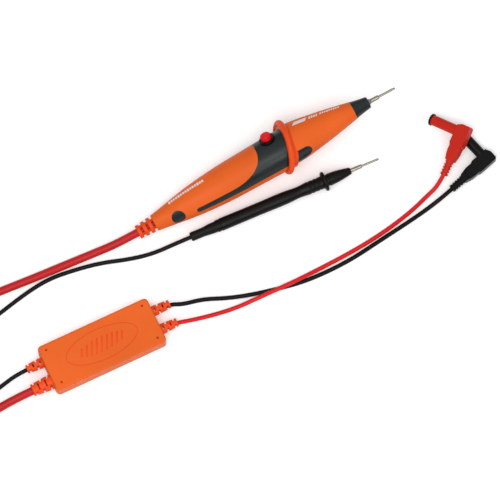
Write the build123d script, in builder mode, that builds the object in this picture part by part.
"""Electronic load-test lead set: load probe, ground probe, junction box, two meter plugs and leads.

Millimetres. X runs along the load probe towards its tip, Z is up, and the set lies on Z = 0.
"""

import math
import os

from build123d import *

os.makedirs("parts", exist_ok=True)


# ---------------------------------------------------------------- placing and saving


def aimed(origin, heading, tilt=0.0, roll=0.0):
    """A frame whose X points along heading, raised by tilt; roll turns it about that X."""
    turn = math.radians(heading)
    rise = math.radians(tilt)
    x_dir = Vector(
        math.cos(turn) * math.cos(rise), math.sin(turn) * math.cos(rise), math.sin(rise)
    )
    up = Vector(
        -math.cos(turn) * math.sin(rise), -math.sin(turn) * math.sin(rise), math.cos(rise)
    )
    z_dir = up.rotate(Axis((0, 0, 0), x_dir), -roll)
    return Plane(origin=origin, x_dir=x_dir, z_dir=z_dir).location


def plane_across(place, station):
    """The plane across a frame's X at a station, facing along +X."""
    return Plane(place * Location((station, 0, 0), (0, 90, 0)))


def save(piece, name, place=None):
    """Move a finished piece to its place, label it and write it."""
    part = piece.part if place is None else piece.part.moved(place)
    part.label = name
    export_step(part, f"parts/{name}.step")


def turned(points, curved=False):
    """A solid of revolution about X; points are (station, radius), closed along the axis."""
    with BuildPart() as piece:
        with BuildSketch():
            with BuildLine():
                if curved:
                    Spline(*points)
                else:
                    Polyline(*points)
                Polyline(points[-1], (points[-1][0], 0), (points[0][0], 0), points[0])
            make_face()
        revolve(axis=Axis.X)
    return piece.part


def tube_between(start, end, outer, inner=0.0):
    """A cylinder or sleeve about X from one station to another."""
    with BuildPart() as piece:
        with BuildSketch(Plane.YZ.offset(start)):
            Circle(outer)
            if inner:
                Circle(inner, mode=Mode.SUBTRACT)
        extrude(amount=end - start)
    return piece.part


# ---------------------------------------------------------------- driving dimensions

# Load probe, stations measured along its axis from the end of its strain relief.
PROBE_START = (-48.7, 34.0, 7.97)
PROBE_PITCH = 5.4  # it lies on its finger guard and on the swelling of its handle
PROBE_ROLL = 41.0  # the button looks up and away to the left
BOOT_LENGTH = 15.1
HANDLE_END = 198.0
NOSE_END = 212.2
FERRULE_END = 221.5
PIN_END = 236.2
PIN_RADIUS = 1.0
SHANK_RADIUS = 0.6  # the part of either pin that its ferrule holds
WALL = 2.2
SKIN = 1.2  # thickness of the soft grip let into the handle
SEAM_HEIGHT = -2.0  # the two shells meet just under the middle of the side bands
FRONT_LEAN = 2.0  # ahead of the guard the handle leans away from the button
LEAN_STATION = 186.0  # where the leaning axis crosses the rear one
REAR_OUTLINE = [
    (BOOT_LENGTH, 6.95),
    (32.0, 9.7),
    (48.0, 12.25),
    (64.0, 14.05),
    (80.0, 15.2),
    (104.0, 15.85),
    (126.0, 16.35),
    (150.0, 16.3),
]
FRONT_OUTLINE = [
    (122.0, 16.4),
    (136.0, 16.6),
    (148.0, 16.15),
    (160.0, 14.5),
    (174.0, 12.2),
    (186.0, 9.95),
    (HANDLE_END, 7.45),
]
NOSE_OUTLINE = [(HANDLE_END, 7.45), (202.0, 6.55), (206.0, 5.8), (NOSE_END - 0.6, 4.95)]
SCREW_STATIONS = (44.0, 100.0, 158.0)
BOSS_RADIUS = 3.0
SCREW_RADIUS = 1.1
SCREW_HEAD_RADIUS = 2.1
SCREW_HEAD_HEIGHT = 1.5
SCREW_TOP = 7.0
SCREW_HEAD_DEPTH = 7.6  # how far under the axis the screw heads sit
CAVITY_START = 24.0
CAVITY_END = 188.0
REAR_BORE = 4.6
NOSE_SPIGOT = 4.2
NOSE_TIP_RADIUS = 4.3
FERRULE_RADIUS = 1.75
FERRULE_FLANGE = 2.5
ROD_RADIUS = 1.5
ROD_HEAD_RADIUS = 2.4
ROD_HEAD_LENGTH = 5.0
ROD_START = 170.0
ROD_TAG = (3.6, 1.2)
ROD_TAG_LENGTH = 7.0

# Soft grip and rear pads, in the side view: X along the probe, Y towards the button.
GRIP_REACH = 22.0
GRIP_START = 114.0
TAIL_START = 52.0
PAD_STATION = 34.2
PAD_SIZE = (5.6, 5.9)

# Finger guard: a raked ring, its button side further forward.
GUARD_STATION = 135.2
GUARD_RAKE = 18.0
GUARD_RING = 19.9
GUARD_TUBE = 2.4
GUARD_FOOT = (17.7, 18.7)  # half sizes of the foot it stands on, across and towards the button
GUARD_FOOT_BACK = 1.5
GUARD_FOOT_FRONT = 6.7
GUARD_FOOT_DROP = 1.0  # how much lower the foot is at its front edge

# Push button, seen from the axis along +Z.
BUTTON_STATION = 126.1
BUTTON_RADIUS = 4.4
BUTTON_TOP = 21.6
BUTTON_FOOT = 14.0
BEZEL_RADIUS = 6.6
BEZEL_BORE = 4.65
BEZEL_TOP = 17.8
BEZEL_FOOT = 10.5
SWITCH_TOP = 8.6
SWITCH_BORE_FOOT = 1.4
PLUNGER_RADIUS = 1.5
PLUNGER_FOOT = 5.5
SPRING_WIRE = 0.25
SPRING_RADIUS = 2.7
SPRING_TURNS = 4
SPRING_GAP = 0.4  # from either end of the wire's middle line to what it bears on
SPRING_HEIGHT = BUTTON_FOOT - SWITCH_TOP - 2 * SPRING_GAP

# Load circuit in the handle.
BOARD_MIDDLE = 117.5
BOARD_SIZE = (58.0, 17.0, 1.6)
BOARD_TOP = -2.2
SWITCH_SIZE = (13.0, 12.0, SWITCH_TOP - BOARD_TOP)
RESISTOR_START = 60.0
RESISTOR_LENGTH = 26.0
RESISTOR_RADIUS = 3.4
RESISTOR_PLACES = ((-4.6, 1.5), (4.6, 1.5))
TERMINAL_START = 21.5
TERMINAL_NECK = 33.0
TERMINAL_RADIUS = 3.0
TERMINAL_TAG = (5.0, 1.2)
TERMINAL_TAG_LENGTH = 6.0

# Ground probe.
GROUND_START = (-16.5, 11.2, 4.32)
GROUND_HEADING = -6.43
GROUND_PITCH = 1.82
GROUND_BOOT_START = 3.2
GROUND_BOOT_END = 25.6
GROUND_BARREL_END = 117.6
GROUND_GUARD_END = 121.0
GROUND_NOSE_END = 142.4
GROUND_FERRULE_END = 152.0
GROUND_PIN_END = 166.8
GROUND_PIN_RADIUS = 0.9
GROUND_BOOT_RADIUS = 3.7
GROUND_BORE = 3.4
GROUND_ROD_RADIUS = 1.6
GROUND_BARREL_RADIUS = 5.25
GROUND_GUARD_RADIUS = 8.1
GROUND_RIB_START = 106.0
GROUND_RIB_PITCH = 3.6
GROUND_RIBS = 3

# Junction box.
BOX_CENTRE = (-119.0, -34.15, 0.0)
BOX_HEADING = -3.8
BOX_LENGTH = 96.2
BOX_WIDTH = 39.4
BOX_HEIGHT = 16.5
BOX_CORNER = 3.4
BOX_WALL = 2.0
LID_FOOT = 10.4
HOLE_SPACING = (84.0, 29.0)
PILLAR_RADIUS = 2.8
LID_HOLE_RADIUS = 1.0
LID_HOLE_DEPTH = 2.4
CASE_SCREW_RADIUS = 0.9
CASE_SCREW_HEAD_RADIUS = 2.0
CASE_SCREW_HEAD_HEIGHT = 1.3
CASE_SCREW_SEAT = 1.6
CASE_SCREW_GRIP = 2.6  # how far the screws reach into the lid's pillars
EMBLEM_SIZE = (62.0, 26.0)
EMBLEM_LINE = 0.7
EMBLEM_DEPTH = 0.3
CONTROL_BOARD = (76.0, 34.0)
BOARD_LEVEL = 4.2
BOARD_THICKNESS = 1.5
BOARD_FACE = BOARD_LEVEL + BOARD_THICKNESS

# Leads.
MAIN_RADIUS = 3.3
GROUND_RADIUS = 1.7
METER_RADIUS = 1.75

# Strain relief of the load probe.
RING_COUNT = 3
RING_RADIUS = 5.7
RING_GROWTH = 0.08  # each ring is larger than the one before by this share of the first
RING_GAP_SHARE = 0.4
RING_SLEEVE = 4.5
RING_TAIL = 6.4
WINDOW_SHARE = 1.25  # width of a window against the lead's radius
WINDOW_TURN = 54.0
BOOT_FILLET = 0.4

# Strain reliefs of the junction box; notches and slots are shares of the length from the free end.
NOTCH_SHARE = 0.92  # a notch stops just inside the lead's own side
NOTCH_WIDTH = 1.6
SLOT_SHARE = 0.85
SLOT_WIDTH = 1.2
SLIM_RADII = (3.5, 4.3)
SLIM_NOTCHES = (0.165, 0.64)
SLIM_SLOTS = (0.405, 0.85)
STOUT_RADII = (4.9, 6.1)
STOUT_NOTCHES = (0.14, 0.51, 0.8625)
STOUT_SLOTS = (0.328, 0.69)
PORT_HEIGHT = 8.2
PORT_COLLAR = 3.0
PORT_FLANGE = 1.2  # the neck in the wall is this much thinner than the collar
PORT_TAIL = 1.5
PORTS = (
    # name, side, place across, lead radius, length, radii, notches, slots
    ("meter_black_boot", 1, 8.6, METER_RADIUS, 15.15, SLIM_RADII, SLIM_NOTCHES, SLIM_SLOTS),
    ("meter_red_boot", 1, -7.6, METER_RADIUS, 14.25, SLIM_RADII, SLIM_NOTCHES, SLIM_SLOTS),
    ("ground_lead_boot", -1, 8.6, GROUND_RADIUS, 13.95, SLIM_RADII, SLIM_NOTCHES, SLIM_SLOTS),
    ("main_lead_boot", -1, -8.9, MAIN_RADIUS, 17.1, STOUT_RADII, STOUT_NOTCHES, STOUT_SLOTS),
)

# Strain reliefs of the plugs.
GROOVES = 4
GROOVE_WIDTH = 1.1
GROOVE_DEPTH = 0.7

# Shrouded right-angle meter plugs.
PLUG_THICKNESS = 10.0
HEAD_EDGE = 3.9  # above and below this the head's sides lean in
WAIST_EDGE = 3.4
WAIST_FACET = 0.75
BEVEL = 42.0
SHROUD_START = 5.0
SHROUD_END = 28.2
SHROUD_RADIUS = 4.2
LINER_RADIUS = 3.6
LINER_BORE = 3.1
LIP_RADIUS = 4.95
LIP_END = 30.0
BANANA_END = 26.0
PLUG_BOOT_START = 24.5
PLUG_BOOT_END = 37.0

probe_place = aimed(PROBE_START, 0.0, PROBE_PITCH, PROBE_ROLL)
front_lean = (
    Location((LEAN_STATION, 0, 0)) * Location((0, 0, 0), (0, FRONT_LEAN, 0)) * Location((-LEAN_STATION, 0, 0))
)
guard_place = front_lean * Location((GUARD_STATION, 0, 0), (0, GUARD_RAKE, 0))
guard_plane = plane_across(guard_place, 0.0)
ground_place = aimed(GROUND_START, GROUND_HEADING, GROUND_PITCH)
box_place = aimed(BOX_CENTRE, BOX_HEADING)


# ---------------------------------------------------------------- strain reliefs


def ringed_boot(length, lead, ring_radius, tail, tail_radius):
    """A strain relief along +X from its free end: growing rings, a window in each gap, a hidden tail."""
    pitch = length / RING_COUNT
    gap = RING_GAP_SHARE * pitch
    with BuildPart() as boot:
        add(tube_between(0, length, RING_SLEEVE, lead))
        for ring in range(RING_COUNT):
            start = ring * pitch
            add(tube_between(start, start + pitch - gap, ring_radius * (1.0 + RING_GROWTH * ring), lead))
        rims = boot.edges().filter_by(GeomType.CIRCLE)
        fillet([rim for rim in rims if rim.radius > ring_radius - 0.01], BOOT_FILLET)
        for ring in range(RING_COUNT):
            with Locations(Location(((ring + 1) * pitch - gap / 2, 0, 0), (WINDOW_TURN, 0, 0))):
                Box(gap, WINDOW_SHARE * lead, 4 * ring_radius, mode=Mode.SUBTRACT)
        add(tube_between(length, length + tail, tail_radius, lead))
    return boot


def slotted_boot(length, lead, tip_radius, root_radius, notches, slots):
    """A strain relief along +X from its free end: pairs of side notches alternate with slots through it."""
    collar_start = length - PORT_COLLAR
    neck_radius = root_radius - PORT_FLANGE
    outline = [
        (0, tip_radius),
        (collar_start, root_radius),
        (length, root_radius),
        (length, neck_radius),
        (length + BOX_WALL, neck_radius),
        (length + BOX_WALL, root_radius),
        (length + BOX_WALL + PORT_TAIL, root_radius),
    ]
    reach = 2 * root_radius
    with BuildPart() as boot:
        add(turned(outline))
        for share in notches:
            for side in (-1, 1):
                with Locations((share * length, side * (NOTCH_SHARE * lead + reach / 2), 0)):
                    Box(NOTCH_WIDTH, reach, reach, mode=Mode.SUBTRACT)
        for share in slots:
            with Locations((share * length, 0, 0)):
                Box(SLOT_WIDTH, 2 * SLOT_SHARE * lead, reach, mode=Mode.SUBTRACT)
        fillet(boot.edges().filter_by(GeomType.CIRCLE).sort_by(Axis.X)[0], BOOT_FILLET)
        add(tube_between(-1, outline[-1][0] + 1, lead), mode=Mode.SUBTRACT)
    return boot


def grooved_boot(length, lead, tip_radius, root_radius, grooves):
    """A strain relief along +X from its free end: a gentle cone with shallow grooves round it."""
    outline = [(0, tip_radius)]
    for groove in range(grooves):
        middle = length * (groove + 1) / (grooves + 1)
        radius = tip_radius + (root_radius - tip_radius) * middle / length
        outline.append((middle - GROOVE_WIDTH / 2, radius))
        outline.append((middle - GROOVE_WIDTH / 2, radius - GROOVE_DEPTH))
        outline.append((middle + GROOVE_WIDTH / 2, radius - GROOVE_DEPTH))
        outline.append((middle + GROOVE_WIDTH / 2, radius))
    outline.append((length, root_radius))
    with BuildPart() as boot:
        add(turned(outline))
        add(tube_between(-1, length + 1, lead), mode=Mode.SUBTRACT)
    return boot


# ---------------------------------------------------------------- load probe: outside


def handle_solid(inset):
    """The handle's round body, its surface brought in by inset; it leans ahead of the guard."""
    with BuildPart() as body:
        for outline, lean, keep in (
            (REAR_OUTLINE, Location(), Keep.BOTTOM),
            (FRONT_OUTLINE, front_lean, Keep.TOP),
        ):
            with BuildPart(mode=Mode.PRIVATE) as length_of_body:
                add(turned([(x, r - inset) for x, r in outline], curved=True).moved(lean))
                split(bisect_by=guard_plane, keep=keep)
            add(length_of_body.part)
    return body.part


def grip_outline():
    """Side view of the soft grip, X along the probe and Y towards the button."""
    tail_top = (TAIL_START, 0.4)
    tail_foot = (TAIL_START, -4.2)
    guard_top = (GUARD_STATION + 7, GRIP_REACH)
    front_top = (GRIP_START, GRIP_REACH)
    patch_top = (149.8, 3.0)
    patch_foot = (151.2, -6.8)
    hand_top = (132.5, -5.8)
    hand_foot = (132.5, -14.2)
    with BuildPart() as mask:
        with BuildSketch(Plane.XZ):
            with BuildLine():
                Polyline(front_top, guard_top, (GUARD_STATION + 1, 3.9), patch_top)
                ThreePointArc(patch_top, (154.0, -1.8), patch_foot)
                Spline(patch_foot, (146.0, -10.8), (139.0, -13.4), hand_foot)
                Polyline(hand_foot, hand_top, (96.0, -5.5), tail_foot)
                ThreePointArc(tail_foot, (TAIL_START - 2.4, -1.9), tail_top)
                Spline(
                    tail_top,
                    (76.0, 0.6),
                    (93.0, 1.6),
                    (104.0, 5.6),
                    (111.0, 11.0),
                    (113.8, 16.0),
                    front_top,
                    tangents=((1, 0.0), (0, 1)),
                )
            make_face()
        extrude(amount=GRIP_REACH, both=True)
    return mask.part


def pad_mask():
    """Two round pads, one each side of the rear of the handle."""
    with BuildPart() as mask:
        with BuildSketch(Plane.XZ):
            with Locations((PAD_STATION, 0.0)):
                Ellipse(*PAD_SIZE)
        extrude(amount=GRIP_REACH, both=True)
    return mask.part


def screw_seats(radius, low, high):
    """Cylinders along Z at the handle's screw stations."""
    with BuildPart() as seats:
        for station in SCREW_STATIONS:
            with BuildSketch(Plane.XY.offset(low)):
                with Locations((station, 0)):
                    Circle(radius)
            extrude(amount=high - low)
    return seats.part


def button_cylinder(radius, foot, top, bore=0.0):
    """A cylinder or sleeve on the button's axis."""
    with BuildPart() as piece:
        with BuildSketch(Plane.XY.offset(foot)):
            with Locations((BUTTON_STATION, 0)):
                Circle(radius)
                if bore:
                    Circle(bore, mode=Mode.SUBTRACT)
        extrude(amount=top - foot)
    return piece.part


outer_body = handle_solid(0.0)
under_skin = handle_solid(SKIN)
bezel_hole = button_cylinder(BEZEL_RADIUS, BEZEL_FOOT, GRIP_REACH)
with BuildPart() as cavity:
    add(handle_solid(WALL))
    split(bisect_by=plane_across(Location(), CAVITY_START), keep=Keep.TOP)
    split(bisect_by=plane_across(front_lean, CAVITY_END), keep=Keep.BOTTOM)
    add(tube_between(BOOT_LENGTH, CAVITY_START, REAR_BORE))
    add(tube_between(CAVITY_END, HANDLE_END, NOSE_SPIGOT).moved(front_lean))

with BuildPart() as skin:
    add(outer_body)
    add(under_skin, mode=Mode.SUBTRACT)

with BuildPart() as grip_overmold:
    add(skin.part)
    add(grip_outline(), mode=Mode.INTERSECT)
    add(bezel_hole, mode=Mode.SUBTRACT)

with BuildPart() as rear_grip_pads:
    add(skin.part)
    add(pad_mask(), mode=Mode.INTERSECT)


def shell(keep):
    """One half of the handle, with its screw bosses and its lay-in for the soft grip."""
    with BuildPart() as half:
        add(outer_body)
        add(cavity.part, mode=Mode.SUBTRACT)
        with BuildPart(mode=Mode.PRIVATE) as bosses:
            add(screw_seats(BOSS_RADIUS, -GRIP_REACH, GRIP_REACH))
            add(outer_body, mode=Mode.INTERSECT)
        add(bosses.part)
        add(grip_overmold.part, mode=Mode.SUBTRACT)
        add(rear_grip_pads.part, mode=Mode.SUBTRACT)
        add(bezel_hole, mode=Mode.SUBTRACT)
        add(screw_seats(SCREW_RADIUS, -GRIP_REACH, SCREW_TOP), mode=Mode.SUBTRACT)
        add(screw_seats(SCREW_HEAD_RADIUS, -GRIP_REACH, -SCREW_HEAD_DEPTH), mode=Mode.SUBTRACT)
        split(bisect_by=Plane.XY.offset(SEAM_HEIGHT), keep=keep)
    return half


upper_shell = shell(Keep.TOP)
lower_shell = shell(Keep.BOTTOM)

with BuildPart() as handle_screws:
    add(screw_seats(SCREW_RADIUS - 0.05, -SCREW_HEAD_DEPTH, SCREW_TOP - 1))
    add(screw_seats(SCREW_HEAD_RADIUS - 0.1, -SCREW_HEAD_DEPTH - SCREW_HEAD_HEIGHT, -SCREW_HEAD_DEPTH))

with BuildPart() as guard_disc:
    with BuildSketch(Plane.XZ):
        with Locations((0, GUARD_RING)):
            Circle(GUARD_TUBE)
    revolve(axis=Axis.X)
    with BuildSketch(Plane.YZ.offset(-GUARD_FOOT_BACK)):
        Ellipse(*GUARD_FOOT)
    extrude(amount=2 * GUARD_FOOT_BACK)
    with BuildSketch(Plane.YZ.offset(GUARD_FOOT_BACK)):
        Ellipse(*GUARD_FOOT)
    with BuildSketch(Plane.YZ.offset(GUARD_FOOT_FRONT)):
        Ellipse(*[half_size - GUARD_FOOT_DROP for half_size in GUARD_FOOT])
    loft()
with BuildPart() as finger_guard:
    add(guard_disc.part.moved(guard_place))
    add(outer_body, mode=Mode.SUBTRACT)

with BuildPart() as nose_cap:
    with BuildSketch():
        with BuildLine():
            outline = Spline(*NOSE_OUTLINE)
            tip = Polyline(outline @ 1, (NOSE_END, NOSE_TIP_RADIUS), (NOSE_END, ROD_RADIUS))
            Polyline(
                tip @ 1,
                (CAVITY_END + 1, ROD_RADIUS),
                (CAVITY_END + 1, NOSE_SPIGOT - 0.05),
                (HANDLE_END, NOSE_SPIGOT - 0.05),
                NOSE_OUTLINE[0],
            )
        make_face()
    revolve(axis=Axis.X)

with BuildPart() as probe_ferrule:
    with BuildSketch():
        Polygon(
            (NOSE_END, SHANK_RADIUS),
            (NOSE_END, FERRULE_FLANGE),
            (NOSE_END + 1.1, FERRULE_FLANGE - 0.2),
            (NOSE_END + 2.0, FERRULE_RADIUS),
            (FERRULE_END - 0.7, FERRULE_RADIUS),
            (FERRULE_END, FERRULE_RADIUS - 0.45),
            (FERRULE_END, SHANK_RADIUS),
            align=None,
        )
    revolve(axis=Axis.X)

with BuildPart() as probe_pin:
    with BuildSketch():
        with BuildLine():
            back = Polyline((NOSE_END, 0), (NOSE_END, SHANK_RADIUS), (FERRULE_END, SHANK_RADIUS))
            side = Polyline(back @ 1, (FERRULE_END, PIN_RADIUS), (PIN_END - 0.9, PIN_RADIUS))
            nose = Spline(side @ 1, (PIN_END - 0.3, 0.72), (PIN_END, 0), tangents=((1, 0), (0, -1)))
            Line(nose @ 1, (NOSE_END, 0))
        make_face()
    revolve(axis=Axis.X)

with BuildPart() as contact_rod:
    add(tube_between(ROD_START, NOSE_END, ROD_RADIUS))
    add(tube_between(ROD_START, ROD_START + ROD_HEAD_LENGTH, ROD_HEAD_RADIUS))
    with BuildSketch(Plane.YZ.offset(ROD_START - ROD_TAG_LENGTH)):
        Rectangle(*ROD_TAG)
    extrude(amount=ROD_TAG_LENGTH)

# ---------------------------------------------------------------- load probe: inside

with BuildPart() as push_button_cap:
    add(button_cylinder(BUTTON_RADIUS, BUTTON_FOOT, BUTTON_TOP))
    fillet(push_button_cap.edges().group_by(Axis.Z)[-1], 1.1)

with BuildPart() as switch_plunger:
    add(button_cylinder(PLUNGER_RADIUS, PLUNGER_FOOT, BUTTON_FOOT))

with BuildPart() as button_bezel:
    add(button_cylinder(BEZEL_RADIUS, BEZEL_FOOT, BEZEL_TOP, BEZEL_BORE))
    fillet(button_bezel.edges().group_by(Axis.Z)[-1].sort_by(SortBy.RADIUS)[-1], 0.5)

with BuildPart() as button_spring:
    with BuildLine() as coil_line:
        Helix(
            pitch=SPRING_HEIGHT / SPRING_TURNS,
            height=SPRING_HEIGHT,
            radius=SPRING_RADIUS,
            center=(BUTTON_STATION, 0, SWITCH_TOP + SPRING_GAP),
        )
    with BuildSketch(Plane(origin=coil_line.line @ 0, z_dir=coil_line.line % 0)):
        Circle(SPRING_WIRE)
    sweep()

with BuildPart() as switch_body:
    with Locations((BUTTON_STATION, 0, SWITCH_TOP)):
        Box(*SWITCH_SIZE, align=(Align.CENTER, Align.CENTER, Align.MAX))
    fillet(switch_body.edges().filter_by(Axis.Z), 1.0)
    add(button_cylinder(PLUNGER_RADIUS + 0.2, SWITCH_BORE_FOOT, SWITCH_TOP + 1), mode=Mode.SUBTRACT)

with BuildPart() as probe_board:
    with Locations((BOARD_MIDDLE, 0, BOARD_TOP)):
        Box(*BOARD_SIZE, align=(Align.CENTER, Align.CENTER, Align.MAX))
    fillet(probe_board.edges().filter_by(Axis.Z), 1.5)
    add(screw_seats(BOSS_RADIUS + 0.3, -GRIP_REACH, GRIP_REACH), mode=Mode.SUBTRACT)

with BuildPart() as load_resistors:
    with BuildSketch(Plane.YZ.offset(RESISTOR_START)):
        with Locations(*RESISTOR_PLACES):
            Circle(RESISTOR_RADIUS)
    extrude(amount=RESISTOR_LENGTH)
    fillet(load_resistors.edges().filter_by(GeomType.CIRCLE), 0.6)

with BuildPart() as lead_terminal:
    add(tube_between(TERMINAL_START, TERMINAL_NECK, TERMINAL_RADIUS))
    with BuildSketch(Plane.YZ.offset(TERMINAL_NECK)):
        Rectangle(*TERMINAL_TAG)
    extrude(amount=TERMINAL_TAG_LENGTH)
    fillet(lead_terminal.edges().filter_by(GeomType.CIRCLE).sort_by(Axis.X)[0], 0.6)

probe_boot = ringed_boot(BOOT_LENGTH, MAIN_RADIUS, RING_RADIUS, RING_TAIL, REAR_BORE)

for piece, name in (
    (upper_shell, "handle_upper_shell"),
    (lower_shell, "handle_lower_shell"),
    (grip_overmold, "grip_overmold"),
    (rear_grip_pads, "rear_grip_pads"),
    (handle_screws, "handle_screws"),
    (finger_guard, "finger_guard"),
    (push_button_cap, "push_button_cap"),
    (switch_plunger, "button_plunger"),
    (button_bezel, "button_bezel"),
    (button_spring, "button_spring"),
    (switch_body, "switch_body"),
    (probe_board, "probe_circuit_board"),
    (load_resistors, "load_resistors"),
    (lead_terminal, "lead_terminal"),
    (probe_boot, "probe_boot"),
):
    save(piece, name, probe_place)

for piece, name in (
    (nose_cap, "nose_cap"),
    (probe_ferrule, "probe_ferrule"),
    (probe_pin, "probe_pin"),
    (contact_rod, "probe_contact_rod"),
):
    save(piece, name, probe_place * front_lean)


# ---------------------------------------------------------------- ground probe

with BuildPart() as ground_boot:
    with BuildSketch():
        with BuildLine():
            Polyline(
                (GROUND_BOOT_START, GROUND_RADIUS),
                (GROUND_BOOT_START, GROUND_BOOT_RADIUS - 0.6),
                (GROUND_BOOT_START + 0.6, GROUND_BOOT_RADIUS),
                (13.0, GROUND_BOOT_RADIUS),
            )
            Spline(
                (13.0, GROUND_BOOT_RADIUS),
                (19.0, 4.25),
                (GROUND_BOOT_END, 4.5),
                tangents=((1, 0), (1, 0)),
            )
            Polyline(
                (GROUND_BOOT_END, 4.5),
                (GROUND_BOOT_END, GROUND_BORE),
                (GROUND_BOOT_END + 5.0, GROUND_BORE),
                (GROUND_BOOT_END + 5.0, GROUND_RADIUS),
                (GROUND_BOOT_START, GROUND_RADIUS),
            )
        make_face()
    revolve(axis=Axis.X)

with BuildPart() as ground_barrel:
    with BuildSketch():
        with BuildLine():
            Polyline(
                (GROUND_BOOT_END, GROUND_BORE),
                (GROUND_BOOT_END, 5.0),
                (28.4, 5.0),
                (28.6, 4.85),
                (29.0, 4.85),
                (29.3, GROUND_BARREL_RADIUS),
            )
            Spline(
                (29.3, GROUND_BARREL_RADIUS),
                (46.0, 5.15),
                (66.0, 5.15),
                (80.0, 5.3),
                (90.0, 5.0),
                (97.0, 4.6),
                (103.0, 5.1),
                (GROUND_RIB_START, GROUND_BARREL_RADIUS),
            )
            for rib in range(GROUND_RIBS):
                foot = GROUND_RIB_START + GROUND_RIB_PITCH * rib
                Polyline(
                    (foot, GROUND_BARREL_RADIUS),
                    (foot + 0.5, GROUND_BARREL_RADIUS - 0.3),
                    (foot + 1.2, GROUND_BARREL_RADIUS - 0.3),
                    (foot + 1.7, GROUND_BARREL_RADIUS),
                    (foot + GROUND_RIB_PITCH, GROUND_BARREL_RADIUS),
                )
            Polyline(
                (GROUND_RIB_START + GROUND_RIBS * GROUND_RIB_PITCH, GROUND_BARREL_RADIUS),
                (GROUND_BARREL_END, GROUND_BARREL_RADIUS),
                (GROUND_BARREL_END, GROUND_ROD_RADIUS),
                (100.0, GROUND_ROD_RADIUS),
                (96.0, 3.0),
                (34.0, GROUND_BORE),
                (GROUND_BOOT_END, GROUND_BORE),
            )
        make_face()
    revolve(axis=Axis.X)

with BuildPart() as ground_guard:
    with BuildSketch():
        Polygon(
            (GROUND_BARREL_END, GROUND_ROD_RADIUS),
            (GROUND_BARREL_END, 5.9),
            (GROUND_BARREL_END + 0.6, 6.2),
            (GROUND_BARREL_END + 0.6, GROUND_GUARD_RADIUS),
            (GROUND_GUARD_END, GROUND_GUARD_RADIUS),
            (GROUND_GUARD_END, GROUND_ROD_RADIUS),
            align=None,
        )
    revolve(axis=Axis.X)
    rim = ground_guard.edges().filter_by(GeomType.CIRCLE).sort_by(SortBy.RADIUS)[-2:]
    fillet(rim, 1.1)

with BuildPart() as ground_nose:
    with BuildSketch():
        with BuildLine():
            Polyline(
                (GROUND_GUARD_END, GROUND_ROD_RADIUS),
                (GROUND_GUARD_END, 4.85),
                (123.0, 4.85),
                (123.4, 5.15),
            )
            Spline(
                (123.4, 5.15),
                (128.0, 4.95),
                (133.6, 4.35),
                (138.6, 3.45),
                (GROUND_NOSE_END - 0.4, 2.8),
            )
            Polyline(
                (GROUND_NOSE_END - 0.4, 2.8),
                (GROUND_NOSE_END, 2.4),
                (GROUND_NOSE_END, GROUND_ROD_RADIUS),
                (GROUND_GUARD_END, GROUND_ROD_RADIUS),
            )
        make_face()
    revolve(axis=Axis.X)

with BuildPart() as ground_rod:
    add(tube_between(60.0, GROUND_NOSE_END, GROUND_ROD_RADIUS))
    add(tube_between(56.0, 62.0, GROUND_ROD_RADIUS + 0.7))

with BuildPart() as ground_ferrule:
    with BuildSketch():
        Polygon(
            (GROUND_NOSE_END, SHANK_RADIUS),
            (GROUND_NOSE_END, GROUND_ROD_RADIUS),
            (GROUND_FERRULE_END - 0.5, GROUND_ROD_RADIUS),
            (GROUND_FERRULE_END, GROUND_ROD_RADIUS - 0.4),
            (GROUND_FERRULE_END, SHANK_RADIUS),
            align=None,
        )
    revolve(axis=Axis.X)

with BuildPart() as ground_pin:
    with BuildSketch():
        with BuildLine():
            Polyline(
                (GROUND_PIN_END, 0),
                (GROUND_NOSE_END, 0),
                (GROUND_NOSE_END, SHANK_RADIUS),
                (GROUND_FERRULE_END, SHANK_RADIUS),
                (GROUND_FERRULE_END, GROUND_PIN_RADIUS),
                (GROUND_PIN_END - 0.8, GROUND_PIN_RADIUS),
            )
            Spline(
                (GROUND_PIN_END - 0.8, GROUND_PIN_RADIUS),
                (GROUND_PIN_END - 0.27, 0.65),
                (GROUND_PIN_END, 0),
                tangents=((1, 0), (0, -1)),
            )
        make_face()
    revolve(axis=Axis.X)

for piece, name in (
    (ground_boot, "ground_probe_boot"),
    (ground_barrel, "ground_probe_barrel"),
    (ground_guard, "ground_probe_guard"),
    (ground_nose, "ground_probe_nose"),
    (ground_rod, "ground_probe_rod"),
    (ground_ferrule, "ground_probe_ferrule"),
    (ground_pin, "ground_probe_pin"),
):
    save(piece, name, ground_place)


# ---------------------------------------------------------------- junction box

def box_block(inset, low, high):
    """The box's rounded plan brought in by inset, between two heights."""
    with BuildPart() as block:
        with BuildSketch(Plane.XY.offset(low)):
            RectangleRounded(BOX_LENGTH - 2 * inset, BOX_WIDTH - 2 * inset, BOX_CORNER - inset)
        extrude(amount=high - low)
    return block


box_outside = box_block(0.0, 0.0, BOX_HEIGHT)
with box_outside:
    fillet(box_outside.edges().group_by(Axis.Z)[-1], 1.6)
    fillet(box_outside.edges().group_by(Axis.Z)[0], 0.8)

with BuildPart() as port_holes:
    for name, side, across, lead, length, radii, notches, slots in PORTS:
        with BuildSketch(Plane.YZ.offset(side * (BOX_LENGTH / 2 - 6.0))):
            with Locations((across, PORT_HEIGHT)):
                Circle(radii[1] - PORT_FLANGE)
        extrude(amount=side * 20.0)

with BuildPart() as box_pillars:
    with BuildSketch():
        with GridLocations(*HOLE_SPACING, 2, 2):
            Circle(PILLAR_RADIUS)
    extrude(amount=BOX_HEIGHT)

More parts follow.
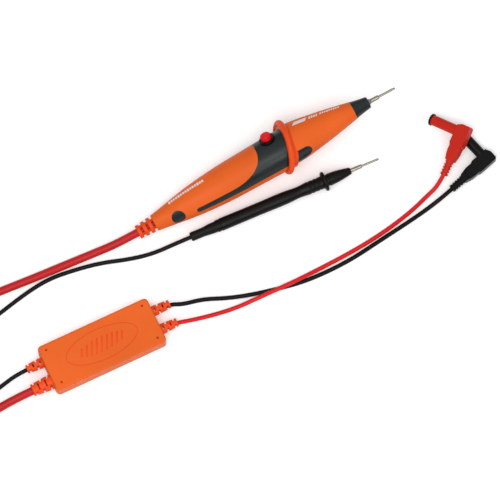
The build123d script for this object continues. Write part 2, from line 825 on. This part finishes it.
with BuildPart() as case_base:
    add(box_outside.part)
    add(box_block(BOX_WALL, BOX_WALL, BOX_HEIGHT).part, mode=Mode.SUBTRACT)
    add(box_pillars.part)
    split(bisect_by=Plane.XY.offset(LID_FOOT), keep=Keep.BOTTOM)
    add(port_holes.part, mode=Mode.SUBTRACT)
    with GridLocations(*HOLE_SPACING, 2, 2):
        Hole(CASE_SCREW_RADIUS + 0.2, depth=60)
    with BuildSketch():
        with GridLocations(*HOLE_SPACING, 2, 2):
            Circle(CASE_SCREW_HEAD_RADIUS + 0.2)
    extrude(amount=CASE_SCREW_SEAT, mode=Mode.SUBTRACT)

with BuildPart() as case_lid:
    add(box_outside.part)
    add(box_block(BOX_WALL, -1.0, BOX_HEIGHT - BOX_WALL).part, mode=Mode.SUBTRACT)
    with BuildPart(mode=Mode.PRIVATE) as lid_pillars:
        add(box_pillars.part)
        split(bisect_by=Plane.XY.offset(BOX_HEIGHT - 1.0), keep=Keep.BOTTOM)
    add(lid_pillars.part)
    split(bisect_by=Plane.XY.offset(LID_FOOT), keep=Keep.TOP)
    add(port_holes.part, mode=Mode.SUBTRACT)
    with BuildSketch(Plane.XY.offset(BOX_HEIGHT)):
        with GridLocations(*HOLE_SPACING, 2, 2):
            Circle(LID_HOLE_RADIUS)
    extrude(amount=-LID_HOLE_DEPTH, mode=Mode.SUBTRACT)
    with BuildSketch(Plane.XY.offset(LID_FOOT)):
        with GridLocations(*HOLE_SPACING, 2, 2):
            Circle(CASE_SCREW_RADIUS)
    extrude(amount=CASE_SCREW_GRIP, mode=Mode.SUBTRACT)
    with BuildSketch(Plane.XY.offset(BOX_HEIGHT)):
        Ellipse(EMBLEM_SIZE[0] / 2, EMBLEM_SIZE[1] / 2)
        Ellipse(EMBLEM_SIZE[0] / 2 - EMBLEM_LINE, EMBLEM_SIZE[1] / 2 - EMBLEM_LINE, mode=Mode.SUBTRACT)
    extrude(amount=-EMBLEM_DEPTH, mode=Mode.SUBTRACT)

with BuildPart() as case_screws:
    with BuildSketch(Plane.XY.offset(CASE_SCREW_SEAT - CASE_SCREW_HEAD_HEIGHT)):
        with GridLocations(*HOLE_SPACING, 2, 2):
            Circle(CASE_SCREW_HEAD_RADIUS)
    extrude(amount=CASE_SCREW_HEAD_HEIGHT)
    with BuildSketch(Plane.XY.offset(CASE_SCREW_SEAT)):
        with GridLocations(*HOLE_SPACING, 2, 2):
            Circle(CASE_SCREW_RADIUS)
    extrude(amount=LID_FOOT + CASE_SCREW_GRIP - CASE_SCREW_SEAT)

with BuildPart() as control_board:
    with BuildSketch(Plane.XY.offset(BOARD_LEVEL)):
        Rectangle(*CONTROL_BOARD)
        with GridLocations(*CONTROL_BOARD, 2, 2):
            Circle(0.5, mode=Mode.SUBTRACT)
    extrude(amount=BOARD_THICKNESS)

with BuildPart() as relay:
    with Locations((-14, 6, BOARD_FACE)):
        Box(19, 14, 8.2, align=(Align.CENTER, Align.CENTER, Align.MIN))
    fillet(relay.edges().filter_by(Axis.Z), 0.8)

with BuildPart() as ceramic_resistor:
    with Locations((-12, -9.5, BOARD_FACE)):
        Box(25, 7.5, 7.5, align=(Align.CENTER, Align.CENTER, Align.MIN))
    fillet(ceramic_resistor.edges(), 0.6)

with BuildPart() as fuse:
    for station, radius in ((12.0, 2.6), (17.0, 2.3), (27.0, 2.6)):
        with BuildSketch(Plane.YZ.offset(station)):
            with Locations((-9.0, BOARD_FACE + 3.4)):
                Circle(radius)
        extrude(amount=10.0 if radius < 2.5 else 5.0)

with BuildPart() as fuse_clips:
    for station in (14.5, 29.5):
        with Locations((station, -9.0, BOARD_FACE)):
            Box(4.0, 7.0, 4.6, align=(Align.CENTER, Align.CENTER, Align.MIN))
    with BuildSketch(Plane.YZ.offset(10)):
        with Locations((-9.0, BOARD_FACE + 3.4)):
            Circle(2.62)
            with Locations((0, 1.5)):
                Rectangle(4.6, 4.0)
    extrude(amount=24, mode=Mode.SUBTRACT)

with BuildPart() as capacitor:
    with BuildSketch(Plane.XY.offset(BOARD_FACE)):
        with Locations((8.0, 8.0)):
            Circle(4.0)
    extrude(amount=8.0)
    fillet(capacitor.edges().group_by(Axis.Z)[-1], 0.6)

with BuildPart() as transistor:
    with Locations((24.0, 8.0, BOARD_FACE)):
        Box(10.0, 15.0, 1.3, align=(Align.CENTER, Align.CENTER, Align.MIN))
    with Locations((24.0, 5.5, BOARD_FACE + 1.3)):
        Box(10.0, 9.0, 3.2, align=(Align.CENTER, Align.CENTER, Align.MIN))

for piece, name in (
    (case_base, "case_base"),
    (case_lid, "case_lid"),
    (case_screws, "case_screws"),
    (control_board, "control_board"),
    (relay, "relay"),
    (ceramic_resistor, "ceramic_resistor"),
    (fuse, "fuse"),
    (fuse_clips, "fuse_clips"),
    (capacitor, "capacitor"),
    (transistor, "transistor"),
):
    save(piece, name, box_place)

for name, side, across, lead, length, radii, notches, slots in PORTS:
    boot = slotted_boot(length, lead, *radii, notches, slots)
    inward = Location((0, 0, 0), (0, 0, 180.0 if side > 0 else 0.0))
    port = Location((side * (BOX_LENGTH / 2 + length), across, PORT_HEIGHT)) * inward
    save(boot, name, box_place * port)


# ---------------------------------------------------------------- meter plugs


def plug_pieces(colour, place):
    """A shrouded right-angle plug: X towards the mouth, Y towards the lead."""
    half = PLUG_THICKNESS / 2
    with BuildPart() as body:
        head = [
            (5.8, 10.0),
            (5.8, -4.6),
            (1.6, -6.6),
            (-4.6, -6.6),
            (-5.8, -5.4),
            (-5.8, 10.6),
            (-4.6, 13.0),
            (4.6, 13.0),
        ]
        with BuildSketch():
            Polygon(*head, align=None)
        extrude(amount=HEAD_EDGE)
        with BuildSketch(Plane.XY.offset(HEAD_EDGE)):
            Polygon(*head, align=None)
        extrude(amount=half - HEAD_EDGE, taper=BEVEL)
        with BuildSketch():
            with BuildLine():
                Spline((-4.9, 12.0), (-4.85, 17.5), (-3.4, PLUG_BOOT_START), tangents=((0, 1), (0.2, 1)))
                Line((-3.4, PLUG_BOOT_START), (3.4, PLUG_BOOT_START))
                Spline((3.4, PLUG_BOOT_START), (4.85, 17.5), (4.9, 12.0), tangents=((0.2, -1), (0, -1)))
                Line((4.9, 12.0), (-4.9, 12.0))
            make_face()
        extrude(amount=WAIST_EDGE)
        with BuildSketch(Plane.XY.offset(WAIST_EDGE)):
            with BuildLine():
                Polyline((-3.9, 18.6), (-4.3, 12.0), (4.3, 12.0), (3.9, 18.6))
                ThreePointArc((3.9, 18.6), (0, 21.8), (-3.9, 18.6))
            make_face()
        extrude(amount=WAIST_FACET, taper=BEVEL)
        mirror(about=Plane.XY)
        add(tube_between(SHROUD_START, SHROUD_END, SHROUD_RADIUS))
        add(tube_between(-3.0, SHROUD_END, LINER_RADIUS), mode=Mode.SUBTRACT)
    with BuildPart() as liner:
        add(tube_between(-3.0, LIP_END, LINER_RADIUS, LINER_BORE))
        add(tube_between(-3.0, 2.0, LINER_RADIUS, 1.4))
        add(tube_between(SHROUD_END, LIP_END, LIP_RADIUS, LINER_BORE))
        lip = liner.edges().filter_by(GeomType.CIRCLE).sort_by(SortBy.RADIUS)[-2:]
        fillet(lip, 0.5)
    with BuildPart() as banana:
        add(tube_between(-1.0, BANANA_END - 2.0, 1.4))
        with BuildSketch():
            with BuildLine():
                Polyline((BANANA_END - 4.0, 0), (BANANA_END - 4.0, 1.6), (BANANA_END - 1.6, 1.6))
                Spline(
                    (BANANA_END - 1.6, 1.6),
                    (BANANA_END - 0.5, 1.15),
                    (BANANA_END, 0),
                    tangents=((1, 0), (0, -1)),
                )
                Line((BANANA_END, 0), (BANANA_END - 4.0, 0))
            make_face()
        revolve(axis=Axis.X)
    with BuildPart() as cage:
        with BuildSketch():
            with BuildLine():
                Spline((7.0, 1.65), (14.0, 2.05), (21.0, 1.65), tangents=((1, 0), (1, 0)))
                Line((21.0, 1.65), (21.0, 1.45))
                Spline((21.0, 1.45), (14.0, 1.8), (7.0, 1.45), tangents=((-1, 0), (-1, 0)))
                Line((7.0, 1.45), (7.0, 1.65))
            make_face()
        revolve(axis=Axis.X)
        for slot in range(4):
            with Locations(Location((14.0, 0, 0), (45.0 + 90.0 * slot, 0, 0))):
                Box(10.0, 0.7, 3.0, align=(Align.CENTER, Align.CENTER, Align.MIN), mode=Mode.SUBTRACT)
    save(body, f"{colour}_plug_body", place)
    save(liner, f"{colour}_plug_liner", place)
    save(banana, f"{colour}_plug_pin", place)
    save(cage, f"{colour}_plug_contact_spring", place)
    boot = grooved_boot(PLUG_BOOT_END - PLUG_BOOT_START, METER_RADIUS, 3.1, 3.4, GROOVES)
    outward = Location((0, PLUG_BOOT_END, 0)) * Location((0, 0, 0), (0, 0, -90))
    save(boot, f"{colour}_plug_boot", place * outward)


def lying_plug(origin, heading, drop, dip):
    """A plug's frame: X along heading and down by drop, then its lead end dipped."""
    return aimed(origin, heading, -drop) * Location((0, 0, 0), (-dip, 0, 0))


red_plug_place = lying_plug((217.4, -23.2, 15.9), 120.75, 18.0, 15.0)
black_plug_place = lying_plug((224.7, -48.7, 5.0), 102.75, 0.0, 0.0)
plug_pieces("red", red_plug_place)
plug_pieces("black", black_plug_place)


# ---------------------------------------------------------------- leads


def lead_tube(points, radius, name):
    """A lead along straight runs joined by tangent arcs as large as the runs allow."""
    spots = [Vector(*point) for point in points]
    runs = [b - a for a, b in zip(spots, spots[1:])]
    radii = []
    for before, after in zip(runs, runs[1:]):
        half_turn = math.radians(before.get_angle(after)) / 2
        radii.append(0.45 * min(before.length, after.length) / math.tan(half_turn))
    with BuildPart() as tube:
        with BuildLine() as path:
            FilletPolyline(*spots, radius=radii)
        with BuildSketch(Plane(origin=spots[0], z_dir=runs[0])):
            Circle(radius)
        sweep()
    length = sum(edge.length for edge in path.edges())
    share = tube.part.volume / (math.pi * radius**2 * length)
    bends = [round(bend) for bend in radii]
    print(name, "length", round(length, 1), "radii", bends, "volume share", round(share, 4))
    save(tube, name)


def coil_solid(centre, low, high, inner, outer, name):
    """The outer shape of a coil lying on the surface."""
    with BuildPart() as coil:
        with BuildSketch(Plane.XY.offset(low)):
            with Locations(centre):
                Circle(outer)
                Circle(inner, mode=Mode.SUBTRACT)
        extrude(amount=high - low)
        fillet(coil.edges(), 0.3 * (high - low))
    save(coil, name)


main_probe_route = [
    (-32.8, 34.0, 9.47),
    (-63.8, 34.0, 6.54),
    (-90.0, 37.6, 3.5),
    (-115.0, 40.4, 3.3),
    (-141.0, 43.1, 3.3),
    (-168.0, 46.5, 3.3),
    (-200.0, 49.4, 3.3),
    (-237.0, 50.6, 3.3),
    (-280.0, 50.2, 3.3),
    (-316.0, 49.6, 3.3),
]
main_box_route = [
    (-171.5, -39.6, 8.2),
    (-192.5, -38.2, 8.2),
    (-214.0, -37.2, 4.6),
    (-236.0, -38.8, 3.3),
    (-262.0, -42.2, 3.3),
    (-290.0, -45.4, 3.3),
    (-318.0, -46.8, 3.3),
]
ground_probe_route = [
    (-2.69, 9.64, 4.76),
    (-24.5, 12.1, 4.06),
    (-45.0, 14.1, 1.9),
    (-64.0, 19.2, 1.7),
    (-86.0, 28.0, 1.7),
    (-107.0, 33.2, 1.7),
    (-129.0, 36.9, 1.7),
    (-151.0, 35.3, 1.7),
    (-177.0, 30.9, 1.7),
    (-204.0, 27.2, 1.7),
    (-236.0, 24.4, 1.7),
]
ground_box_route = [
    (-170.3, -22.1, 8.2),
    (-188.2, -20.9, 8.2),
    (-203.0, -22.4, 4.0),
    (-217.0, -23.8, 1.8),
    (-236.0, -24.4, 1.7),
]
meter_black_route = [
    (-66.6, -29.0, 8.2),
    (-47.3, -30.3, 8.2),
    (-30.0, -39.2, 3.8),
    (-12.0, -47.0, 1.9),
    (6.0, -53.8, 1.75),
    (26.0, -59.6, 1.75),
    (46.0, -64.6, 1.75),
    (68.0, -67.0, 1.75),
    (92.0, -67.4, 1.75),
    (118.0, -65.1, 1.75),
    (144.0, -63.1, 1.75),
    (164.0, -61.0, 2.0),
    (179.8, -58.9, 4.8),
    (195.4, -55.35, 5.0),
]
meter_red_route = [
    (-67.6, -45.2, 8.2),
    (-48.6, -46.45, 8.2),
    (-31.0, -53.5, 4.4),
    (-10.0, -57.8, 3.6),
    (12.0, -60.0, 6.6),
    (42.0, -62.2, 6.6),
    (64.0, -61.9, 2.2),
    (86.0, -62.2, 1.75),
    (109.0, -61.7, 1.75),
    (132.0, -59.6, 1.75),
    (153.0, -56.0, 1.75),
    (168.6, -51.6, 2.2),
    (181.2, -48.8, 4.9),
    (193.7, -40.1, 8.5),
]

for route, radius, name in (
    (main_probe_route, MAIN_RADIUS, "main_lead_probe_side"),
    (main_box_route, MAIN_RADIUS, "main_lead_box_side"),
    (ground_probe_route, GROUND_RADIUS, "ground_lead_probe_side"),
    (ground_box_route, GROUND_RADIUS, "ground_lead_box_side"),
    (meter_black_route, METER_RADIUS, "meter_lead_black"),
    (meter_red_route, METER_RADIUS, "meter_lead_red"),
):
    lead_tube(route, radius, name)

coil_solid((-325.0, 4.8), 0.0, 13.3, 27.8, 55.2, "main_lead_coil")
coil_solid((-240.0, 1.8), 0.0, 13.7, 12.0, 28.0, "ground_lead_coil")
